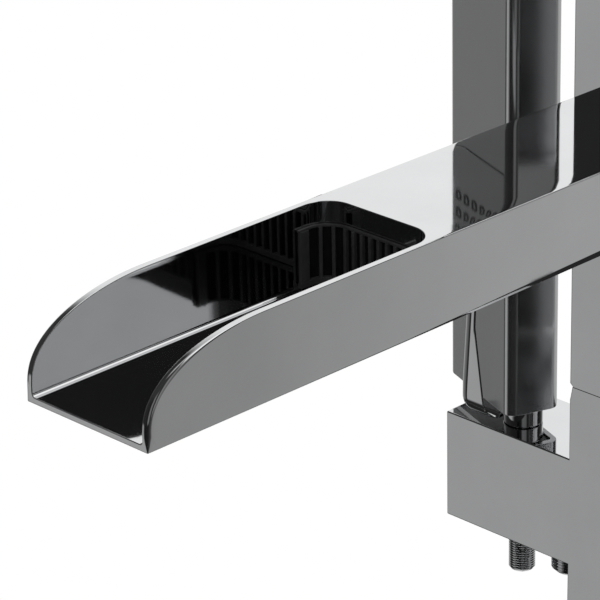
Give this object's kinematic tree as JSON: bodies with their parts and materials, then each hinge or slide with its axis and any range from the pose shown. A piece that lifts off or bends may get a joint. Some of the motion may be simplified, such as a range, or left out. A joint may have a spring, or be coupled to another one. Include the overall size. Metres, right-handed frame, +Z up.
{
  "type": "freestanding tub filler",
  "caption": "Floor-standing square column with an open waterfall trough spout, a cross-shaped mixer body and a docked rectangular hand shower",
  "frame": {"origin": "on the floor, under the column's axis and in the middle of the four anchor holes", "axes": "+Z up along the column; -Y the way the spout points; +X towards the lever, -X towards the handset"},
  "size_m": [0.1966, 0.3335, 0.9819],
  "materials": {
    "chrome": "polished",
    "steel": "brushed",
    "brass": "machined",
    "seal": "matte",
    "nozzle": "matte",
    "insert": "satin",
    "plate": "satin",
    "white": "matte",
    "grey": "gloss"
  },
  "bodies": {
    "stand": {"floor_plate": "steel", "base_cover": "chrome", "cover_seal": "seal", "column_foot": "steel", "foot_screws": "steel", "lower_column": "chrome", "lower_screws": "steel", "lower_gasket": "seal", "hot_inlet": "brass", "cold_inlet": "brass", "hot_pipe": "brass", "cold_pipe": "brass", "mixer_body": "chrome", "body_screws": "steel", "body_plug": "chrome", "hose_outlet": "chrome", "upper_gasket": "seal", "riser": "chrome", "riser_cap": "chrome", "riser_pipe": "brass", "spout_elbow": "brass", "spout_nipple": "brass", "nipple_ring": "seal", "spout_body": "chrome", "spout_left": "chrome", "spout_right": "chrome", "spout_screws": "steel", "flow_insert": "insert", "cartridge": "white", "cartridge_nut": "brass", "bonnet_ring": "chrome", "diverter_valve": "brass", "diverter_ring": "chrome", "dock_bushing": "brass", "handset_rest": "chrome", "rest_screw": "steel"},
    "dock": {"dock_sleeve": "chrome", "sleeve_clip": "steel"},
    "handset": {"handset_shell": "chrome", "handset_base": "grey", "spray_chamber": "white", "handset_end": "chrome", "spray_plate": "plate", "spray_nozzles": "nozzle", "plate_screws": "steel", "handset_neck": "chrome", "neck_ring": "seal", "check_valve": "white", "handset_tube": "grey"},
    "selector": {"turret": "grey"},
    "lever": {"lever_stem": "steel", "lever_handle": "chrome", "lever_screw": "steel", "index_cap": "grey"},
    "knob": {"diverter_stem": "steel", "diverter_knob": "chrome", "knob_cap": "grey"}
  },
  "joints": [
    {"name": "handset_swivel", "type": "hinge", "parent": "stand", "child": "dock", "pos_m": [-0.0564, -0.0047, 0.7306], "axis": [0, 0, 1], "range_deg": [-40, 0]},
    {"name": "handset_lift", "type": "slide", "parent": "dock", "child": "handset", "axis": [0, 0, 1], "range_m": [0, 0.12]},
    {"name": "lever_turn", "type": "hinge", "parent": "stand", "child": "selector", "pos_m": [0.066, 0, 0.7106], "axis": [1, 0, 0], "range_deg": [-50, 50]},
    {"name": "lever_tilt", "type": "hinge", "parent": "selector", "child": "lever", "pos_m": [0.066, 0, 0.7106], "axis": [0, 1, 0], "range_deg": [0, 20]},
    {"name": "diverter_turn", "type": "hinge", "parent": "stand", "child": "knob", "pos_m": [0.04, 0, 0.7306], "axis": [0, 0, 1], "range_deg": [0, 90]}
  ]
}
